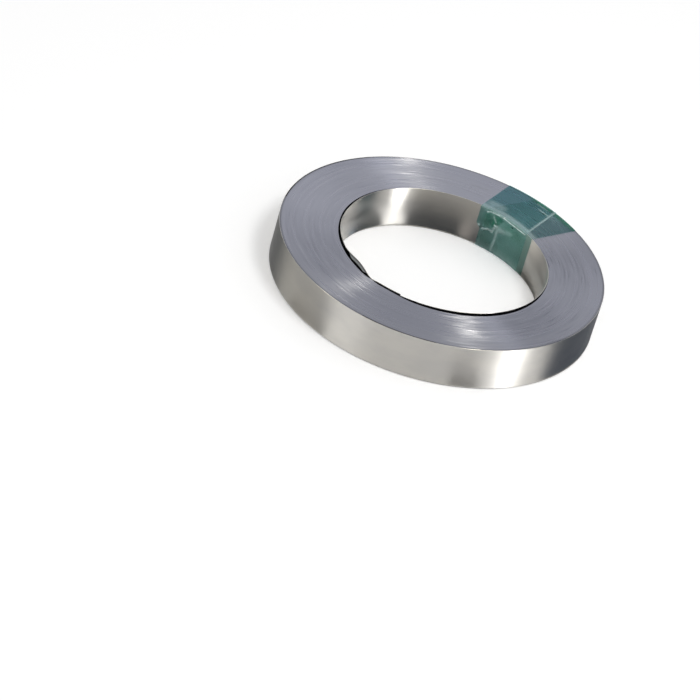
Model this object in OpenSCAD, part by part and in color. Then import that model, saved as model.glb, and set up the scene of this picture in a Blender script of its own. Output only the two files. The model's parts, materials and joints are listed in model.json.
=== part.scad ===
// Flat coil of thin nickel-plated steel strip, lying on one end.
// The turns are wound tight, the innermost turn has sprung loose into the bore,
// and two wraps of one adhesive tape run through the bore and hold the coil shut.
// Origin: on the coil's axis, at the level it rests on. +Z is up along the axis.

/* [Coil] */
// Outer diameter over the tight turns
coil_od = 145; // [115:1:240]
// Diameter of the bore through the tight turns
bore_d = 95; // [60:1:105]
// Width of the strip, which is the height of the coil
strip_w = 20; // [8:0.5:40]
// Thickness of the strip, as the loose turn shows it
strip_t = 0.25; // [0.15:0.05:0.5]

/* [Turns on the ends] */
// Width of a band of turns that lie level with each other
band_w = 1.25; // [0.8:0.05:2.5]
// Furthest that a band stands proud of its neighbours
band_step = 0.2; // [0.05:0.05:0.4]

/* [Loose inner turn] */
// Widest gap between the loose turn and the tight turns
loose_gap = 1.7; // [0.8:0.1:3]
// Angle at which the loose turn lies against the tight turns
loose_seat_angle = 85; // [0:1:180]
// Angle of the free end of the loose turn
free_end_angle = 254; // [200:1:300]
// Opening between the free end and the turn behind it
free_end_gap = 2; // [1:0.5:6]

/* [Tape] */
// Width of the tape
tape_w = 26; // [12:1:40]
// Thickness of one layer of tape
tape_t = 0.08; // [0.05:0.01:0.15]
// Clearance between the tape and the turns it lies on
tape_bond = 0.04; // [0.02:0.01:0.1]
// Angle of the first wrap
wrap_1_angle = 66.5; // [20:0.5:120]
// Offset of the first wrap to the right of the coil's axis
wrap_1_offset = 5.4; // [-12:0.1:12]
// Angle of the second wrap
wrap_2_angle = 44; // [20:0.5:120]
// Offset of the second wrap to the right of the coil's axis
wrap_2_offset = -8.7; // [-12:0.1:12]

/* [Hidden] */
$fn = 180;

coil_r = coil_od / 2;
bore_r = bore_d / 2;
wall = coil_r - bore_r;

// One layer of tape and two layers reach this far from the turns.
single_tape = tape_bond + tape_t;
double_tape = single_tape + tape_t;

// The doubled tape under the coil lifts it off the floor.
base_z = double_tape;
coil_h = strip_w + band_step;

// Bands of turns, counted outward from the bore
band_count = max(2, round(wall / band_w));
band_pitch = wall / band_count;

// The loose turn is a smaller ring, off the axis, pressed a little into the tight turns.
loose_press = 0.1;
loose_shift = (loose_gap + loose_press) / 2;
loose_outer_r = bore_r + loose_press - loose_shift;
loose_inner_r = loose_outer_r - strip_t;

// Margin by which a cutting shape runs past what it cuts
past = 1;

// Every second band is level with the rest, and those between stand up by uneven steps.
function band_rise(i) = i % 2 == 0 ? 0 : band_step * (0.45 + 0.55 * abs(sin(97 * i)));

function band_top(i) = base_z + strip_w + band_rise(i);

function band_bottom(i) = base_z + band_rise(i);

// Half section of the tight turns: each band is one strip width high.
module turns_section() {
    top_edge = [
        for (i = [0 : band_count - 1])
            for (side = [0, 1])
                [bore_r + (i + side) * band_pitch, band_top(i)]
    ];
    bottom_edge = [
        for (i = [band_count - 1 : -1 : 0])
            for (side = [1, 0])
                [bore_r + (i + side) * band_pitch, band_bottom(i)]
    ];
    polygon(concat(top_edge, bottom_edge));
}

// Places its children on the loose turn's own axis.
module at_loose_axis() {
    rotate([0, 0, loose_seat_angle])
        translate([loose_shift, 0, 0])
            rotate([0, 0, -loose_seat_angle])
                children();
}

module loose_turn() {
    difference() {
        at_loose_axis()
            translate([0, 0, base_z])
                difference() {
                    cylinder(r = loose_outer_r, h = strip_w);
                    translate([0, 0, -past])
                        cylinder(r = loose_inner_r, h = strip_w + 2 * past);
                }
        rotate([0, 0, free_end_angle])
            translate([0, -free_end_gap, base_z - past])
                cube([bore_r + past, free_end_gap, strip_w + 2 * past]);
    }
}

module strip_coil() {
    color([0.72, 0.71, 0.69])
        union() {
            rotate_extrude()
                turns_section();
            loose_turn();
        }
}

// The whole coil as a plain ring, from the outside to the loose turn's bore, grown on
// every side
module coil_envelope(grow) {
    difference() {
        translate([0, 0, base_z - grow])
            cylinder(r = coil_r + grow, h = coil_h + 2 * grow);
        at_loose_axis()
            translate([0, 0, base_z - grow - past])
                cylinder(r = loose_inner_r - grow, h = coil_h + 2 * grow + 2 * past);
    }
}

// What lies round the coil, clear of it, and reaches this far from it
module coil_skin(reach) {
    difference() {
        coil_envelope(reach);
        coil_envelope(tape_bond);
    }
}

// The stretch of the coil that one wrap covers
module wrap_slab(angle, offset) {
    rotate([0, 0, angle])
        translate([0, -offset - tape_w / 2, -past])
            cube([coil_r + double_tape + past, tape_w, coil_h + 2 * (double_tape + past)]);
}

module first_wrap() {
    wrap_slab(wrap_1_angle, wrap_1_offset);
}

module second_wrap() {
    wrap_slab(wrap_2_angle, wrap_2_offset);
}

module binding_tape() {
    color([0.27, 0.5, 0.46])
        union() {
            intersection() {
                coil_skin(single_tape);
                union() {
                    first_wrap();
                    second_wrap();
                }
            }
            intersection() {
                coil_skin(double_tape);
                first_wrap();
                second_wrap();
            }
        }
}

strip_coil();
binding_tape();
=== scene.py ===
import json
import math

import bpy
import bmesh
from mathutils import Matrix, Vector, noise


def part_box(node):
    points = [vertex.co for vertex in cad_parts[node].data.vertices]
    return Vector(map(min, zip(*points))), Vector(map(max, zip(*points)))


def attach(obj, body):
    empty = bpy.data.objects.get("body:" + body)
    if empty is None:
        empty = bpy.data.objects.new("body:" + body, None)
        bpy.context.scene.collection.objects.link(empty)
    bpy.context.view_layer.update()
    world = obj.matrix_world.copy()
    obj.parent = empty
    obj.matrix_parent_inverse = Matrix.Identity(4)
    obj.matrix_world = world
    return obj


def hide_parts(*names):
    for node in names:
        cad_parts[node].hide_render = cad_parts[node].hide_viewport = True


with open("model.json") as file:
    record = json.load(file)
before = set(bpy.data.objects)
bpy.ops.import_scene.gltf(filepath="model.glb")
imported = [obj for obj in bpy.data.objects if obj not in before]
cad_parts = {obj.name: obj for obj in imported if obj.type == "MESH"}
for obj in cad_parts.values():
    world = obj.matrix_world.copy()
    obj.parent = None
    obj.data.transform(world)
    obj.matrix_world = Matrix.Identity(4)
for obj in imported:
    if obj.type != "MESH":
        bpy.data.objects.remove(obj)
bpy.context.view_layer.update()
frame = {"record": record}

# The coil's own sizes, in metres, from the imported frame
coilLow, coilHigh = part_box("strip_coil")
coilRadius = coilHigh.x
coilBottom = coilLow.z
boreMount = next(m for m in frame["record"]["mounts"] if m["name"] == "bore")
stripWidth = boreMount["dims"]["length_mm"] / 1000
coilTop = coilBottom + stripWidth
stripThickness = 0.00025
sameLevel = 1e-6  # points this near each other lie level


class Wire:
    # A node's output, on which plain maths adds Math nodes
    def __init__(self, shader, socket):
        self.shader = shader
        self.socket = socket

    def maths(self, operation, *values):
        return self.shader.node("Math", {"operation": operation}, dict(enumerate(values)))

    def __add__(self, other):
        return self.maths("ADD", self, other)

    __radd__ = __add__

    def __mul__(self, other):
        return self.maths("MULTIPLY", self, other)

    __rmul__ = __mul__

    def __sub__(self, other):
        return self.maths("SUBTRACT", self, other)

    def __rsub__(self, other):
        return self.maths("SUBTRACT", other, self)

    def __truediv__(self, other):
        return self.maths("DIVIDE", self, other)

    def __pow__(self, other):
        return self.maths("POWER", self, other)


class Shader:
    # One node tree, and the one way in which its nodes are made
    def __init__(self, holder):
        holder.use_nodes = True
        self.holder = holder
        self.tree = holder.node_tree
        self.tree.nodes.clear()

    def node(self, kind, settings=None, values=None, output=0):
        made = self.tree.nodes.new("ShaderNode" + kind)
        for key, value in (settings or {}).items():
            setattr(made, key, value)
        for key, value in (values or {}).items():
            if isinstance(value, Wire):
                self.tree.links.new(value.socket, made.inputs[key])
            else:
                made.inputs[key].default_value = value
        return Wire(self, made.outputs[output]) if made.outputs else None

    def remap(self, value, fromLow, fromHigh, toLow=0, toHigh=1):
        return self.node(
            "MapRange",
            {"interpolation_type": "SMOOTHSTEP"},
            {
                "Value": value,
                "From Min": fromLow,
                "From Max": fromHigh,
                "To Min": toLow,
                "To Max": toHigh,
            },
        )

    def mixColour(self, fac, first, second):
        # Inputs 6 and 7 and output 2 are the colour sockets of a Mix node
        return self.node("Mix", {"data_type": "RGBA"}, {0: fac, 6: first, 7: second}, output=2)

    def noise(self, vector, scale, detail=2, rough=0.5):
        return self.node(
            "TexNoise", {}, {"Vector": vector, "Scale": scale, "Detail": detail, "Roughness": rough}
        )

    def attribute(self, name):
        return self.node("Attribute", {"attribute_name": name}, output=2)

    def place(self):
        # Output 3 is the place in the object's own axes
        return self.node("TexCoord", output=3)

    def axis(self, vector, index):
        return self.node("SeparateXYZ", {}, {"Vector": vector}, output=index)

    def stretched(self, vector, scale):
        return self.node("Mapping", {}, {"Vector": vector, "Scale": scale})

    def finish(self, surface, output="OutputMaterial"):
        self.node(output, {}, {"Surface": surface})
        return self.holder


def rgb(red, green, blue):
    return (red, green, blue, 1)


def between(low, high, share):
    return low + (high - low) * share


def smoothStep(value):
    value = min(1, max(0, value))
    return value * value * (3 - 2 * value)


def linked(name, data):
    made = bpy.data.objects.new(name, data)
    bpy.context.scene.collection.objects.link(made)
    return made


def newPiece(name, mesh, materials, slot, *stoodFor):
    piece = linked(name, mesh)
    for material in materials:
        mesh.materials.append(material)
    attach(piece, "root")
    if stoodFor:
        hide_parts(*stoodFor)
    return piece


def meshFrom(bm, name, sharpAngle=35):
    bmesh.ops.recalc_face_normals(bm, faces=bm.faces)
    mesh = bpy.data.meshes.new(name)
    bm.to_mesh(mesh)
    bm.free()
    mesh.shade_smooth()
    mesh.set_sharp_from_angle(angle=math.radians(sharpAngle))
    return mesh


stripLook = {
    "nickel": rgb(0.66, 0.64, 0.60),
    "nickelDull": rgb(0.59, 0.575, 0.55),
    "wallRoughness": (0.33, 0.39),
    "wallAnisotropy": 1.0,
    # Rolling lines run along the strip, so they are short up the wall and long round it
    "rollingScale": (18, 18, 2600),
    "rollingDepth": 0.00002,
    "hazeScale": (40, 40, 90),
    "waveScale": (32, 32, 40),
    "waveHeight": 0.0004,  # of the slow waves left in the wound strip
    "edge": rgb(0.305, 0.313, 0.372),
    "edgeDark": rgb(0.228, 0.235, 0.280),
    "edgeRim": rgb(0.165, 0.170, 0.200),
    "edgeRoughness": (0.30, 0.27),
    "toneScale": 22,
    "paintedLightSlope": 5,  # how much paler, as painted light, in a metre towards the back
    "paintedLightTurn": 0.6,  # share of that towards the left
    "rimPlace": (0.0014, 0.0004),  # how far in from the outside the dark rim starts and is full
    "streaks": 760,  # across a metre of the wound edges
    "streakTurn": 1.1,  # round one radian of them
    "lean": 0.16,  # of single turns along the strip
    "stagger": 3.6,  # how far a few single turns tilt outwards and inwards
    "staggerScale": (3.5, 3.5, 1.5),  # of those turns against the streaks
    "cup": (0.09, -0.10),  # tilt of all turns outwards, over the inner turns and at the outer rim
    "cupPlace": (0.85, 0.94),  # where it changes, in outer radii
    # Painted shade and painted light for the gap behind the loose turn: black far down, grey where
    # light is painted at the top
    "gapShadowBlack": rgb(0.004, 0.004, 0.005),
    "gapShade": rgb(0.17, 0.175, 0.18),
    "gapLitGrey": rgb(0.50, 0.52, 0.52),
    "gapLitDepth": 0.0020,  # how far down the painted light reaches into the gap where it is wide
    "gapLitFade": 0.0003,
    "gapLitGreyDepth": (0.0004, 0.0013),  # where the painted shade turns to painted grey light
}


def nickelMaterial():
    look = stripLook
    shader = Shader(bpy.data.materials.new("rolledNickel"))
    place = shader.place()
    lines = shader.noise(shader.stretched(place, look["rollingScale"]), 1, 3, 0.6)
    haze = shader.noise(shader.stretched(place, look["hazeScale"]), 1, 3, 0.55)
    waves = shader.noise(shader.stretched(place, look["waveScale"]), 1, 1)
    base = shader.mixColour(shader.remap(haze, 0.35, 0.7), look["nickel"], look["nickelDull"])
    rough = shader.remap(lines, 0.3, 0.7, *look["wallRoughness"])
    coarse = shader.node("Bump", {}, {"Strength": 1, "Distance": look["waveHeight"], "Height": waves})
    bump = shader.node(
        "Bump",
        {},
        {"Strength": 0.1, "Distance": look["rollingDepth"], "Height": lines, "Normal": coarse},
    )
    surface = shader.node(
        "BsdfPrincipled",
        {},
        {
            "Base Color": base,
            "Metallic": 1,
            "Roughness": rough,
            "Anisotropic": look["wallAnisotropy"],
            "Anisotropic Rotation": 0.25,
            "Normal": bump,
        },
    )
    return shader.finish(surface)


def slitEdgeMaterial():
    look = stripLook
    shader = Shader(bpy.data.materials.new("slitEdges"))
    place = shader.place()
    x, y = shader.axis(place, 0), shader.axis(place, 1)
    radius = (x * x + y * y) ** 0.5
    # Long round the coil and narrow across it: each turn's edge leans its own way
    around = shader.node("CombineXYZ", {}, {0: x / radius, 1: y / radius, 2: radius})
    turns = shader.stretched(around, (look["streakTurn"], look["streakTurn"], look["streaks"]))
    streak = shader.noise(turns, 1, 3, 0.55)
    single = shader.noise(shader.stretched(turns, look["staggerScale"]), 1, 1, 0.5)
    lean = (streak - 0.5) * look["lean"]
    cupStart, cupEnd = look["cupPlace"]
    cup = shader.remap(radius, coilRadius * cupStart, coilRadius * cupEnd, *look["cup"])
    # Most turns tilt a little and a few of them much
    tilt = single - 0.5
    outwards = cup + tilt * tilt.maths("ABSOLUTE", tilt) * look["stagger"]
    leanX = (y * lean + x * outwards) / radius
    leanY = (y * outwards - x * lean) / radius
    sideways = shader.node("CombineXYZ", {}, {0: leanX, 1: leanY})
    facing = shader.node("NewGeometry", output=1)  # the face's own normal
    leaning = shader.node("VectorMath", {"operation": "ADD"}, {0: facing, 1: sideways})
    normal = shader.node("VectorMath", {"operation": "NORMALIZE"}, {0: leaning})
    # The tone drifts slowly, and painted light makes it paler at the back left
    paintedLight = (y - x * look["paintedLightTurn"]) * look["paintedLightSlope"]
    tone = shader.noise(place, look["toneScale"], 2) * 0.85 + streak * 0.15 + paintedLight
    colour = shader.mixColour(shader.remap(tone, 0.1, 0.9), look["edgeDark"], look["edge"])
    rimStart, rimFull = look["rimPlace"]
    rim = shader.remap(radius, coilRadius - rimStart, coilRadius - rimFull)
    surface = shader.node(
        "BsdfPrincipled",
        {},
        {
            "Base Color": shader.mixColour(rim, colour, look["edgeRim"]),
            "Metallic": 1,
            "Roughness": shader.remap(streak, 0.35, 0.65, *look["edgeRoughness"]),
            "Anisotropic": 1,
            "Anisotropic Rotation": 0.25,
            "Normal": normal,
        },
    )
    return shader.finish(surface)


def gapShadeMaterial():
    # Faces that look into the gap behind the loose turn carry painted shade, black, but for the top
    # where it is wide, which the open attribute marks for painted grey light
    look = stripLook
    shader = Shader(bpy.data.materials.new("gapPaintedShade"))
    depth = coilTop - shader.axis(shader.place(), 2)
    lit = shader.remap(shader.attribute("open") * look["gapLitDepth"] - depth, 0, look["gapLitFade"])
    deeper = shader.remap(depth, *look["gapLitGreyDepth"])
    grey = shader.mixColour(deeper, look["gapShade"], look["gapLitGrey"])
    surface = shader.node(
        "BsdfPrincipled",
        {},
        {
            "Base Color": shader.mixColour(lit, look["gapShadowBlack"], grey),
            "Roughness": 0.6,
            "Specular IOR Level": 0,
        },
    )
    return shader.finish(surface)


tightTurns = {
    "bore": 0.0475,
    "rings": 100,
    "segments": 288,
    "tailAngle": 58,  # where the outermost turn ends, under the tape
    "tailStep": 0.15,  # degrees over which the tail's cut end drops
    "tailRun": 30,  # degrees before it, over which the outermost turns step inwards
    "tailTurns": 12,  # how many of them do
    "relief": 0.00012,  # unevenness of the slit edges on both ends
    # For noise: how often it changes in a radian and in a metre outwards, and a shift for each end
    "broadStreaks": (2.2, 500, 40),
    "closeStreaks": (5, 1300, 90),
    "corner": 0.00014,  # rounding of the slit edges
    "grooveDepth": 0.0006,  # behind the outermost turn
    "grooveWidth": 0.00042,
    "grooveClosed": 0.85,  # share of its depth that is lost where that turn lies tight
    # Middle and half length, in degrees, of the stretches where it stands off
    "deepGrooves": [(150, 27), (-98, 16)],
    "grooveFade": 6,  # degrees over which they end
    "boreTurns": 14,  # how many of the innermost turns follow the bore's shape
    # Degrees round the coil, and how far the innermost turns stand outwards there, in mm
    "boreShape": [
        (58, 0), (110, 0), (125, -0.05), (148, -0.35), (163, -0.68), (181, -1.08), (193, -1.1),
        (203, -1.08), (213, -1.0), (224, -0.8), (232, -0.5), (236, -1.0), (240, -0.65), (248, -0.9),
        (254, -0.6), (260, -0.1), (270, 0.2), (290, 0.6), (310, 0.7), (326, 0.5), (350, 0.05),
        (360, 0), (418, 0),
    ],
}


def smoothKnots(knots, at):
    # A cubic through the knots, with flat ends
    for index in range(len(knots) - 1):
        (a, low), (b, high) = knots[index], knots[index + 1]
        if a <= at <= b:
            before = knots[max(0, index - 1)]
            after = knots[min(len(knots) - 1, index + 2)]
            slopeIn = (high - before[1]) / (b - before[0])
            slopeOut = (after[1] - low) / (after[0] - a)
            t = (at - a) / (b - a)
            width = b - a
            return (
                (2 * t**3 - 3 * t**2 + 1) * low
                + (t**3 - 2 * t**2 + t) * slopeIn * width
                + (3 * t**2 - 2 * t**3) * high
                + (t**3 - t**2) * slopeOut * width
            )
    return knots[-1][1]


def streakNoise(angle, radius, side, streaks):
    inTurn, outwards, shift = streaks
    x, y = math.cos(angle), math.sin(angle)
    return noise.noise(Vector((x * inTurn, y * inTurn, radius * outwards + side * shift)))


def edgeDip(angle, radius, side):
    # How deep a slit edge lies, from 0 to 1: long streaks round the coil, close rings across it
    broad = streakNoise(angle, radius, side, tightTurns["broadStreaks"])
    close = streakNoise(angle, radius, side, tightTurns["closeStreaks"])
    return min(1, max(0, 0.5 + 0.5 * broad + 0.35 * close))


def grooveOpen(degrees):
    # From 0 to 1: how far the outermost turn stands off the next
    most = 0
    for middle, half in tightTurns["deepGrooves"]:
        away = abs((degrees - middle + 180) % 360 - 180)
        most = max(most, smoothStep((half - away) / tightTurns["grooveFade"]))
    return most


def makeTightTurns(materials):
    look = tightTurns
    pitch = (coilRadius - look["bore"]) / look["rings"]
    radii = [look["bore"] + pitch * ring for ring in range(look["rings"] + 1)]
    corner = look["corner"]
    grooveAt = coilRadius - corner - look["grooveWidth"] * 0.6
    # Radius and depth below the end, for a section that is the same on both ends
    end = [(look["bore"], corner), (look["bore"] + corner, 0)]
    end += [(radius, 0) for radius in radii[1:-2]]
    end += [
        (grooveAt - look["grooveWidth"] / 2, 0), (grooveAt, look["grooveDepth"]),
        (grooveAt + look["grooveWidth"] / 2, 0),
        (coilRadius - corner, 0), (coilRadius, corner),
    ]
    middle = coilBottom + stripWidth / 2
    half = stripWidth / 2
    outline = [(radius, middle + half - depth) for radius, depth in end]
    outline += [(radius, middle - half + depth) for radius, depth in reversed(end)]
    bm = bmesh.new()
    points = [bm.verts.new((radius, 0, z)) for radius, z in outline]
    edges = [bm.edges.new(pair) for pair in zip(points, points[1:] + points[:1])]
    bmesh.ops.spin(
        bm,
        geom=points + edges,
        cent=(0, 0, 0),
        axis=(0, 0, 1),
        angle=2 * math.pi,
        steps=look["segments"],
        use_merge=True,
    )
    bmesh.ops.recalc_face_normals(bm, faces=bm.faces)
    wallStart = coilRadius - corner * 0.9
    boreEnd = look["bore"] + corner * 0.4
    for face in bm.faces:
        centre = face.calc_center_median()
        radius = math.hypot(centre.x, centre.y)
        degrees = math.degrees(math.atan2(centre.y, centre.x)) + look["tailAngle"]
        inGroove = abs(radius - grooveAt) < look["grooveWidth"] / 2 and grooveOpen(degrees) > 0.5
        # The tight bore behind the loose turn, and the groove where it stands open, take the gap's
        # painted shade
        if radius < boreEnd or inGroove:
            face.material_index = 2
        else:
            face.material_index = 0 if radius > wallStart else 1
    column = 2 * math.pi / look["segments"]
    for vert in bm.verts:
        radius = math.hypot(vert.co.x, vert.co.y)
        place = round(math.atan2(vert.co.y, vert.co.x) / column) % look["segments"]
        angle = place * column
        if place == look["segments"] - 1:
            angle = 2 * math.pi - math.radians(look["tailStep"])
        degrees = math.degrees(angle) + look["tailAngle"]
        side = 1 if vert.co.z > middle else -1
        if abs(abs(vert.co.z - middle) - half) < sameLevel:
            vert.co.z -= side * look["relief"] * edgeDip(angle, radius, side)
        elif abs(radius - grooveAt) < sameLevel:
            vert.co.z += side * look["grooveDepth"] * look["grooveClosed"] * (1 - grooveOpen(degrees))
        # The outermost turns step inwards before the tail, and the bore is a little out of round
        inwards = stripThickness * smoothStep((math.degrees(angle) - 360) / look["tailRun"] + 1)
        radius -= inwards * smoothStep((radius - coilRadius) / (look["tailTurns"] * pitch) + 1)
        pushed = smoothKnots(look["boreShape"], degrees) / 1000
        radius += pushed * smoothStep((look["bore"] - radius) / (look["boreTurns"] * pitch) + 1)
        angle += math.radians(look["tailAngle"])
        vert.co.x, vert.co.y = radius * math.cos(angle), radius * math.sin(angle)
    mesh = meshFrom(bm, "tightTurns")
    return newPiece("tightTurns", mesh, materials, "strip", "strip_coil")


looseTurn = {
    "freeEnd": -106,  # degrees round the coil
    "step": 1,  # degrees from one section of the strip to the next
    "chamfer": 0.00006,  # of its slit edges
    "wide": (21, 45),  # degrees from the free end between which painted light shows at the top of the gap
    "wideFade": (8, 5),  # degrees over which it starts and ends
    "hidden": 350,  # degrees from the free end, past which the strip is lost against the tight turns
    "wallFacing": 0.85,  # how squarely a face looks outwards or inwards to be the strip's wall
    # Degrees clockwise from the free end, and how far the strip stands off the tight bore, in mm
    "standOff": [
        (0, 2.15), (8, 2.1), (14, 1.85), (18, 1.2), (22, 1.95), (26, 3.1), (31, 3.95),
        (35, 4.1), (39, 3.7), (44, 2.9), (48, 2.45), (57, 2.25), (65, 2.0), (75, 1.8), (90, 1.58),
        (100, 1.25), (108, 0.9), (122, 0.4), (138, 0), (230, 0), (250, 0.1), (264, 0.3),
        (284, 0.65), (304, 1.0), (324, 1.35), (338, 1.4), (346, 1.35), (352, 1.2), (358, 1.05),
        (366, 1.0),
    ],
}


def makeLooseTurn(materials):
    look = looseTurn
    thick = stripThickness
    trim = look["chamfer"]
    step = look["step"]
    # Depth inwards from the outer face, and height, for the strip's own section
    section = [
        (0, trim), (trim, 0), (thick - trim, 0), (thick, trim),
        (thick, stripWidth - trim), (thick - trim, stripWidth),
        (trim, stripWidth), (0, stripWidth - trim),
    ]

    def radiusAt(turned):
        return tightTurns["bore"] - max(0, smoothKnots(look["standOff"], turned)) / 1000

    # Where painted light shows at the top of the gap
    def gapLightAt(turned):
        first, last = look["wide"]
        starting, ending = look["wideFade"]
        return smoothStep((turned - first) / starting) * smoothStep((last - turned) / ending)

    bm = bmesh.new()
    # The open attribute carries where painted light shows in the gap
    gapLightLayer = bm.verts.layers.float.new("open")
    hiddenLayer = bm.faces.layers.int.new("hidden")
    start = Matrix.Rotation(math.radians(look["freeEnd"]), 4, "Z")
    places = [start @ Vector((radiusAt(0) - depth, 0, coilBottom + z)) for depth, z in section]
    ring = [bm.verts.new(place) for place in places]
    bm.faces.new(ring)
    edges = [bm.edges.get(pair) for pair in zip(ring, ring[1:] + ring[:1])]
    turnStep = Matrix.Rotation(math.radians(-step), 3, "Z")
    for turned in range(step, look["standOff"][-1][0] + step, step):
        made = bmesh.ops.extrude_edge_only(bm, edges=edges)["geom"]
        verts = [g for g in made if isinstance(g, bmesh.types.BMVert)]
        bmesh.ops.rotate(bm, verts=verts, cent=(0, 0, 0), matrix=turnStep)
        angle = math.radians(look["freeEnd"] - turned)
        out = Vector((math.cos(angle), math.sin(angle), 0))
        bmesh.ops.translate(bm, verts=verts, vec=out * (radiusAt(turned) - radiusAt(turned - step)))
        for vert in verts:
            vert[gapLightLayer] = gapLightAt(turned)
        for face in [g for g in made if isinstance(g, bmesh.types.BMFace)]:
            face[hiddenLayer] = turned > look["hidden"]
        edges = [g for g in made if isinstance(g, bmesh.types.BMEdge)]
        edges = [edge for edge in edges if all(vert in verts for vert in edge.verts)]
    bmesh.ops.contextual_create(bm, geom=edges)
    bmesh.ops.recalc_face_normals(bm, faces=bm.faces)
    # Faces that look into the gap, and those lost against the tight turns, take the gap's painted shade
    for face in bm.faces:
        centre = face.calc_center_median()
        outwards = (face.normal.x * centre.x + face.normal.y * centre.y) / centre.to_2d().length
        lost = face[hiddenLayer] and outwards > -look["wallFacing"]
        face.material_index = 2 if outwards > look["wallFacing"] or lost else 0
    mesh = meshFrom(bm, "looseTurn", 50)
    return newPiece("looseTurn", mesh, materials, "strip")


tapeLook = {
    "film": 0.00005,  # its thickness
    "gap": 0.00004,  # between the film and what it lies on
    "width": 0.026,
    "columns": 111,
    "corner": 0.0003,
    "start": 0.005,  # height of the tape's first end on the outer wall
    "overlap": 0.009,  # how far its last end reaches past that
    # In shares of the bore's depth: where a tuck starts, and over what length it grows
    "tuckPlace": (0.42, 0.16),
    # In mm: ripples in the bore and elsewhere, and how often they change across and along the tape
    "ripple": (0.15, 0.04),
    "rippleScale": (0.22, 0.3),
    "wobble": 0.175,  # how far a crease strays from its line
    "wobbleScale": 0.8,
    "bridge": 0.45,  # how far the film stands off below the bore's rim
    "bridgeDepth": 2.2,  # how far down that reaches
    "topRise": 0.08,  # the most that it lifts off the coil's end
    "haze": rgb(0.015, 0.23, 0.135),  # where the film is lifted
    "shadeGreen": rgb(0.02, 0.07, 0.05),  # painted shade on the film, where it shows dark
    "under": rgb(0.93, 0.96, 0.95),  # the under wrap's tint where the top wrap lies on it
    "creaseWhiteAndSheen": rgb(0.88, 1.0, 0.98),  # where it is creased: whitened film, with a painted highlight on the folds
    "clearing": (0.02, 0.46),  # how much of the film's own colour shows, stuck down and lifted
    "roughness": 0.14,
    "blotches": 160,  # in a metre
    "grain": 500,  # in a metre
    "grainDepth": 0.0001,
}

# Places on a wrap are in mm: across it, and along it from the bore's top rim, down the bore as plus.
# A crease is a line, its width, whiteness, which also paints a highlight, and ridge. A lift or a patch
# of painted shade is an ellipse and its amount
wraps = {
    "tapeUnderWrap": {
        "angle": 44.0, "offset": -0.0087, "layer": 0, "seed": 23, "tuck": 0,
        "tint": rgb(0.745, 0.835, 0.832),
        "creases": [([(-4.3, -1.2), (3, -1.2)], 2.2, 0.12, 0)],
        "lifts": [(4, -25, 13, 3.2, 0.8)],
        "shadePatches": [],
    },
    "tapeTopWrap": {
        "angle": 66.5, "offset": 0.0054, "layer": 1, "seed": 11, "tuck": 0.0022,
        "tint": rgb(0.73, 0.855, 0.862),
        "creases": [
            ([(3.9, 1.8), (2.6, 1.0), (-2, 0.5)], 0.28, 0.7, 0.2),
            ([(-4.4, 0.5), (-8, 1.0), (-13, 1.2), (-17.6, 0.8)], 0.26, 1.0, 0.2),
            ([(-2, 0.5), (-4.4, 0.5)], 0.25, 0.35, 0.2),
            ([(0.4, 2.6), (-1.2, 4.8)], 0.6, 0.07, 0.03),
            ([(-1.0, 6.6), (-3.2, 6.8)], 0.6, 0.11, 0.06),
            ([(7.4, 10.8), (6.2, 9.6)], 0.5, 0.3, 0.2),
            ([(4.2, 10.9), (1.5, 9.9), (-0.8, 10.2), (-1.2, 8.0)], 0.55, 0.26, 0.2),
            ([(-2.9, 8.2), (-2.9, 14), (-2.6, 19.4)], 0.9, 0.14, 0.14),
            ([(-3.2, 7.6), (-5.5, 7.4)], 1.9, 0.13, 0.1),
            ([(-5.5, 7.4), (-9.5, 6.2)], 1.3, 0.10, 0.1),
            ([(-18.0, -25), (-18.0, -1)], 0.8, 0.2, 0.05),
            ([(-11.5, -19.6), (-17.6, -19.6)], 0.4, 0.2, 0.08),
            ([(-9, -22.5), (-15, -22.5)], 0.35, 0.13, 0.08),
            ([(8, -1.3), (-18, -1.3)], 2.2, 0.15, 0),
            ([(5, -5), (0, -5)], 3.2, 0.11, 0),
            ([(4, 13), (-18, 13)], 5, 0.05, 0),
            ([(4, 19.5), (-18, 19.5)], 4, 0.09, 0),
            ([(8, -25.3), (-18, -25.3)], 0.35, 0.2, 0),
        ],
        "lifts": [
            (-0.6, 5.6, 3.4, 3.2, 1.0), (-1.5, 2.6, 4, 2.4, 0.8), (-11, 4.0, 7.5, 5.0, 0.4),
            (-16.4, 10, 2.6, 12, 0.2), (-11, -25, 8.5, 3.0, 0.8),
        ],
        "shadePatches": [(2.9, 5.5, 3.6, 4.8, 0.3), (3.2, 14.5, 4.5, 5.0, 0.12), (-9.8, 2.6, 0.8, 0.5, 0.6)],
    },
}


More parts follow.
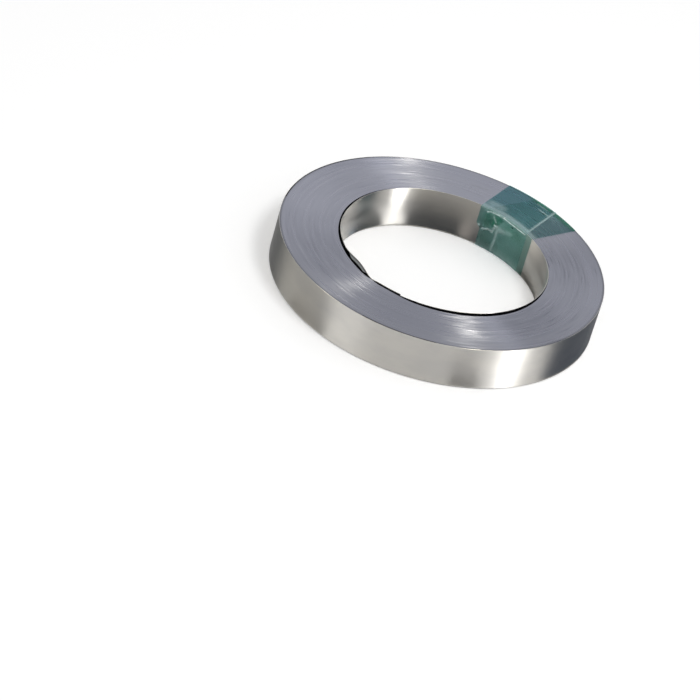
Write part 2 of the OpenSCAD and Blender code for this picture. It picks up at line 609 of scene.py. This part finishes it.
def tapeMaterial(name, tint):
    look = tapeLook
    shader = Shader(bpy.data.materials.new(name))
    place = shader.place()
    blotch = shader.noise(place, look["blotches"], 2)
    lift = shader.remap(shader.attribute("lift") + (blotch - 0.5) * 0.2, 0, 1.2, *look["clearing"])
    crease = shader.attribute("crease")
    # Painted shade: patches where the film is darkened to a dark green
    filmShade = shader.attribute("filmShade")
    film = shader.mixColour(shader.remap(filmShade, 0, 0.6), look["haze"], look["shadeGreen"])
    grain = shader.noise(place, look["grain"], 3, 0.6)
    bump = shader.node("Bump", {}, {"Strength": 0.15, "Distance": look["grainDepth"], "Height": grain})
    # Creases turn the film pale: partly its own whitening, partly a painted highlight on the folds
    gloss = shader.node(
        "BsdfPrincipled",
        {},
        {
            "Base Color": shader.mixColour(shader.remap(crease, 0, 0.12), film, look["creaseWhiteAndSheen"]),
            "Roughness": look["roughness"],
            "IOR": 1.5,
            "Normal": bump,
        },
    )
    clear = shader.node("BsdfTransparent", {}, {"Color": tint})
    cloudy = lift.maths("MAXIMUM", lift.maths("MAXIMUM", lift, filmShade * 0.8), crease)
    return shader.finish(shader.node("MixShader", {}, {0: cloudy, 1: clear, 2: gloss}))


def nearLine(point, line):
    # Distance from a point to a line through several places
    best = 1000
    for start, end in zip(line, line[1:]):
        a, b = Vector(start), Vector(end)
        along = b - a
        share = min(1, max(0, (point - a).dot(along) / along.length_squared))
        best = min(best, (point - a - along * share).length)
    return best


def withinPatches(point, patches):
    # How far a point lies within the strongest of some soft ellipses
    most = 0
    for across, along, halfAcross, halfAlong, amount in patches:
        far = math.hypot((point.x - across) / halfAcross, (point.y - along) / halfAlong)
        most = max(most, amount * smoothStep(1.25 - far))
    return most


def makeWrap(name, wrap):
    look = tapeLook
    clear = look["gap"] + wrap["layer"] * (look["film"] + look["gap"])
    inner = tightTurns["bore"] - stripThickness - clear
    outer = coilRadius + clear
    top = coilTop + clear
    bottom = max(look["film"], coilBottom - clear)
    over = outer + look["film"] + look["gap"]
    end = bottom + look["start"] + look["overlap"]
    # Start and end of each leg, the way off the coil, and its rows: up the outer wall, in over the
    # top, down the bore, out below and up again
    legs = [
        (("outer", bottom + look["start"]), ("outer", top), (1, 0), 34),
        (("outer", top), ("inner", top), (0, 1), 90),
        (("inner", top), ("inner", bottom), (-1, 0), 80),
        (("inner", bottom), ("outer", bottom), (0, -1), 14),
        (("over", bottom), ("over", end), (1, 0), 30),
    ]
    radii = {"outer": outer, "inner": inner, "over": over}
    stations = []
    for leg, (_, _, _, count) in enumerate(legs):
        stations += [(leg, row / (count - 1)) for row in range(count)]
    rows = len(stations)
    bm = bmesh.new()
    bmesh.ops.create_grid(bm, x_segments=rows - 1, y_segments=look["columns"] - 1, size=1)
    liftLayer = bm.verts.layers.float.new("lift")
    creaseLayer = bm.verts.layers.float.new("crease")
    filmShadeLayer = bm.verts.layers.float.new("filmShade")
    turn = Matrix.Rotation(math.radians(wrap["angle"]), 4, "Z")
    faceLength = (outer - inner) * 1000
    often = look["wobbleScale"]
    tuckFrom, tuckOver = look["tuckPlace"]
    rippleAcross, rippleAlong = look["rippleScale"]
    for vert in bm.verts:
        leg, share = stations[round((vert.co.x + 1) / 2 * (rows - 1))]
        # The lower part of the bore leg is tucked narrower on one side
        tucked = {2: smoothStep((share - tuckFrom) / tuckOver), 3: 1 - smoothStep(share)}.get(leg, 0)
        across = vert.co.y * look["width"] / 2 - wrap["offset"]
        across -= wrap["tuck"] * tucked * max(0, vert.co.y)
        (startAt, z0), (endAt, z1), out, _ = legs[leg]
        x0 = math.sqrt(radii[startAt] ** 2 - across**2)
        x1 = math.sqrt(radii[endAt] ** 2 - across**2)
        length = math.hypot(x1 - x0, z1 - z0)
        trim = look["corner"] / length
        share = trim + share * (1 - 2 * trim)
        x, z = between(x0, x1, share), between(z0, z1, share)
        # In mm from the bore's top rim; the two last legs carry no creases, so they lie far off
        along = {
            0: -faceLength - (top - z) * 1000,
            1: (share - 1) * faceLength,
            2: share * length * 1000,
        }
        spot = Vector((across * 1000, along.get(leg, 100)))
        wobblePlace = Vector((spot.x * often, spot.y * often, wrap["seed"]))
        wobble = look["wobble"] * noise.noise(wobblePlace)
        crease = raised = 0
        for line, width, whiteness, ridge in wrap["creases"]:
            near = math.exp(-(((nearLine(spot, line) + wobble) / width) ** 2))
            crease = max(crease, whiteness * near)
            raised += ridge * near
        ripple = noise.noise(Vector((spot.x * rippleAcross, spot.y * rippleAlong, wrap["seed"])))
        raised += max(0, ripple) * look["ripple"][0 if leg == 2 else 1]
        # Below the rim the film bridges the turn's edge and stands off the bore
        if leg == 2:
            raised += look["bridge"] * smoothStep(1 - spot.y / look["bridgeDepth"])
        if leg == 1:
            raised = min(raised, look["topRise"])
        push = raised / 1000
        vert[creaseLayer] = crease
        vert[liftLayer] = withinPatches(spot, wrap["lifts"])
        vert[filmShadeLayer] = withinPatches(spot, wrap["shadePatches"])
        vert.co = turn @ Vector((x + out[0] * push, across, z + out[1] * push))
    films = [tapeMaterial(name + "Film", wrap["tint"])]
    if wrap["layer"] == 0:
        films.append(tapeMaterial(name + "CoveredFilm", look["under"]))
        cover = wraps["tapeTopWrap"]
        turnBack = Matrix.Rotation(math.radians(-cover["angle"]), 4, "Z")
        for face in bm.faces:
            beside = (turnBack @ face.calc_center_median()).y + cover["offset"]
            face.material_index = 1 if abs(beside) < look["width"] / 2 else 0
    mesh = meshFrom(bm, name, 60)
    piece = newPiece(name, mesh, films, "tape")
    solid = piece.modifiers.new("film", "SOLIDIFY")
    solid.thickness = look["film"]
    solid.offset = 1
    return piece


stageLook = {
    "floorSize": 6,
    "floor": rgb(0.93, 0.93, 0.93),
    "floorLift": 0.13,  # what the floor gains in direct view, so that it is white there
    "worldStrength": 0.72,
    "lampColour": (1, 0.95, 0.76),
    "cardDistance": 1.6,
    "cardRows": 8,
    "cardRise": 0.0004,  # of the floor cards above the floor
    "cardStep": 0.00004,  # of each above the one before it, which it then hides
    "clearLayers": 24,  # films and cards that light may pass through
}

# Azimuth, elevation, distance, width, height, turn about its own aim, radiance and the kind of ray
# that doesn't see the lamp. The strips draw the bright fans on the wound edges
lamps = {
    "keyBox": (-38, 66, 1.2, 0.34, 0.34, 0, 12.0, "visible_glossy"),
    "keyStrip": (54, 68, 1.2, 0.09, 0.40, 58, 14.0, "visible_diffuse"),
    "sideStrip": (142, 61, 1.2, 0.07, 0.35, 92, 12.5, "visible_diffuse"),
}

# Cards far round the coil: azimuths, elevations, colour, strength and soft sides, in degrees
standingCards = {
    "keyGlow": (-37, -15, 4, 38, (1, 1, 1), 15.0, 9),
    "leftGlow": (-152, -122, 6, 45, (1, 0.99, 0.96), 1.8, 9),
    "rightDark": (0, 56, 0, 60, (0.7, 0.9, 1.3), 0.09, 8),
    "rightEdge": (50, 80, 0, 20, (0.8, 0.95, 1.2), 0.10, 8),
    "backLow": (118, 158, 0, 20, (0.9, 0.97, 1.05), 0.30, 8),
    "backHigh": (124, 168, 18, 80, (0.95, 1, 1), 0.17, 8),
    "leftPale": (156, 206, 0, 40, (1, 0.97, 0.92), 1.30, 8),
    "nearGrey": (-126, -42, 4, 60, (1, 0.98, 0.94), 0.36, 6),
}

# Cards on the floor, each in front of the stretch of wall that mirrors it: the radius of that wall,
# its first and last angle, near and far reach from it, colour, strength and soft sides
floorCards = {
    "leftPatch": ("coil", -186, -144, 0.0005, 0.9, (0.97, 1, 1.03), 0.13, 6),
    "leftMiddle": ("coil", -154, -120, 0.0005, 0.9, (0.99, 1, 0.98), 0.33, 7),
    "leftFoot": ("coil", -144, -120, 0.0005, 0.013, (1, 0.98, 0.93), 0.08, 6),
    "nearFoot": ("coil", -79, -64, 0.0005, 0.012, (1, 0.98, 0.95), 0.25, 5),
    "rightPatch": ("coil", -46, 12, 0.0005, 0.9, (0.85, 0.93, 1.1), 0.15, 8),
    "nearGlow": ("coil", -65, -49, 0.0005, 0.9, (1, 1, 1), 1.0, 5),
    "boreFar": ("bore", 62, 116, 0.0005, 0.065, (1, 0.97, 0.95), 0.05, 4),
    "boreRight": ("bore", 2, 46, 0.0005, 0.022, (1, 0.97, 0.93), 0.01, 6),
    "boreNearLeft": ("bore", 132, 174, 0.0005, 0.014, (0.74, 0.95, 1.25), 0.36, 5),
    "boreFarLeft": ("bore", 132, 173, 0.015, 0.065, (0.7, 0.93, 1.25), 0.035, 4),
    "boreGlow": ("bore", 111, 130, 0.0005, 0.011, (1, 1, 1), 1.7, 6),
    "boreRightBack": ("bore", 12, 36, 0.021, 0.032, (0.97, 0.97, 0.95), 0.5, 6),
    "boreBand": ("bore", 74, 86, 0.0005, 0.024, (1, 0.94, 0.92), 0.36, 5),
}


def aimed(azimuth, elevation, distance):
    a, e = math.radians(azimuth), math.radians(elevation)
    way = Vector((math.cos(a) * math.cos(e), math.sin(a) * math.cos(e), math.sin(e)))
    return Matrix.Translation(way * distance) @ way.to_track_quat("Z", "Y").to_matrix().to_4x4()


def plainMesh(bm, name, material):
    mesh = bpy.data.meshes.new(name)
    bm.to_mesh(mesh)
    bm.free()
    mesh.materials.append(material)
    return mesh


def makeStage():
    look = stageLook
    shader = Shader(bpy.data.materials.new("paleFloor"))
    matt = shader.node("BsdfDiffuse", {}, {"Color": look["floor"]})
    seen = shader.node("LightPath") * look["floorLift"]
    glow = shader.node("Emission", {}, {"Strength": seen})
    surface = shader.node("AddShader", {}, {0: matt, 1: glow})
    bm = bmesh.new()
    bmesh.ops.create_grid(bm, x_segments=1, y_segments=1, size=look["floorSize"] / 2)
    floor = linked("floor", plainMesh(bm, "floor", shader.finish(surface)))


def makeCard(name, first, last, soft, colour, strength, placeAt):
    # A grid of angles and reaches, which only gloss sees
    shader = Shader(bpy.data.materials.new(name))
    glow = shader.node("Emission", {}, {"Color": rgb(*colour), "Strength": strength})
    clear = shader.node("BsdfTransparent")
    surface = shader.node("MixShader", {}, {0: shader.attribute("fade"), 1: clear, 2: glow})
    bm = bmesh.new()
    fade = bm.verts.layers.float.new("fade")
    bmesh.ops.create_grid(
        bm, x_segments=int(last - first), y_segments=stageLook["cardRows"], size=0.5
    )
    for vert in bm.verts:
        angle = between(first, last, vert.co.x + 0.5)
        vert[fade] = smoothStep(min(angle - first, last - angle) / soft)
        vert.co = placeAt(angle, vert.co.y + 0.5)
    card = linked(name, plainMesh(bm, name, shader.finish(surface)))
    card.visible_camera = False
    card.visible_diffuse = False
    card.visible_shadow = False
    card.visible_transmission = False


def flatWay(degrees):
    return Vector((math.cos(math.radians(degrees)), math.sin(math.radians(degrees)), 0))


def makeCards():
    far = stageLook["cardDistance"]
    for name, (first, last, low, high, colour, strength, soft) in standingCards.items():

        def standAt(azimuth, share):
            tilt = math.radians(between(low, high, share))
            return flatWay(azimuth) * math.cos(tilt) * far + Vector((0, 0, math.sin(tilt) * far))

        makeCard(name, first, last, soft, colour, strength, standAt)
    radii = {"coil": coilRadius, "bore": tightTurns["bore"]}
    for index, (name, values) in enumerate(floorCards.items()):
        wall, first, last, near, reach, colour, strength, soft = values
        rise = Vector((0, 0, stageLook["cardRise"] + stageLook["cardStep"] * index))

        def layAt(angle, share):
            # The camera's azimuth is -90, so a wall mirrors it towards 90 degrees plus twice its
            # angle. The rows lie closer together near the wall
            away = between(near, reach, share**3)
            return flatWay(angle) * radii[wall] + flatWay(90 + 2 * angle) * away + rise

        makeCard(name, first, last, soft, colour, strength, layAt)


def makeLamps():
    for name, (azimuth, elevation, distance, width, height, turn, radiance, blind) in lamps.items():
        lamp = bpy.data.lights.new(name, "AREA")
        lamp.shape = "RECTANGLE"
        lamp.size = width
        lamp.size_y = height
        lamp.energy = radiance * math.pi * width * height
        if blind == "visible_diffuse":
            lamp.color = stageLook["lampColour"]
        holder = linked(name, lamp)
        spin = Matrix.Rotation(math.radians(turn), 4, "Z")
        holder.matrix_world = aimed(azimuth, elevation, distance) @ spin
        holder.visible_camera = False
        setattr(holder, blind, False)


def makeWorld():
    world = bpy.data.worlds.new("studio")
    bpy.context.scene.world = world
    shader = Shader(world)
    # The outputs are Is Camera Ray, Is Glossy Ray and Is Transmission Ray, which all see white
    direct = shader.node("LightPath")
    glossy = shader.node("LightPath", output=3)
    passing = shader.node("LightPath", output=6)
    seen = direct.maths("MAXIMUM", direct.maths("MAXIMUM", direct, glossy), passing)
    strength = shader.remap(seen, 0, 1, stageLook["worldStrength"], 1)
    back = shader.node("Background", {}, {"Color": rgb(1, 1, 1), "Strength": strength})
    shader.finish(back, "OutputWorld")


cameraPlace = {
    # Degrees, outer radii of the coil from the middle of its top end, and mm of lens and sensor
    "elevation": 33.59,
    "roll": 16.255,
    "rightOfView": 0.5531,
    "aboveView": 0.5959,
    "distance": 21.037,
    "lens": 181.4,
    "sensor": 36,
    "farClip": 50,  # metres
}


def makeCamera():
    look = cameraPlace
    tilt = math.radians(look["elevation"])
    roll = math.radians(look["roll"])
    ahead = Vector((0, math.cos(tilt), -math.sin(tilt)))
    upright = Vector((0, math.sin(tilt), math.cos(tilt)))
    side = Vector((1, 0, 0))
    right = side * math.cos(roll) + upright * math.sin(roll)
    up = upright * math.cos(roll) - side * math.sin(roll)
    focus = Vector((0, 0, coilTop))
    offset = right * look["rightOfView"] + up * look["aboveView"] + ahead * look["distance"]
    camera = bpy.data.cameras.new("camera")
    camera.lens = look["lens"]
    camera.sensor_width = look["sensor"]
    camera.clip_end = look["farClip"]
    holder = linked("camera", camera)
    turn = Matrix((right, up, -ahead)).transposed().to_4x4()
    holder.matrix_world = Matrix.Translation(focus - offset * coilRadius) @ turn
    bpy.context.scene.camera = holder


makeCamera()
makeWorld()
makeLamps()
makeCards()
makeStage()
print("stage, lamps and camera are in place")

stripMaterials = [nickelMaterial(), slitEdgeMaterial(), gapShadeMaterial()]
makeTightTurns(stripMaterials)
makeLooseTurn(stripMaterials)
print("strip is wound")

for wrapName, wrapValues in wraps.items():
    makeWrap(wrapName, wrapValues)
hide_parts("binding_tape")
print("tape is on")

bpy.context.scene.view_settings.view_transform = "Standard"
bpy.context.scene.cycles.transparent_max_bounces = stageLook["clearLayers"]
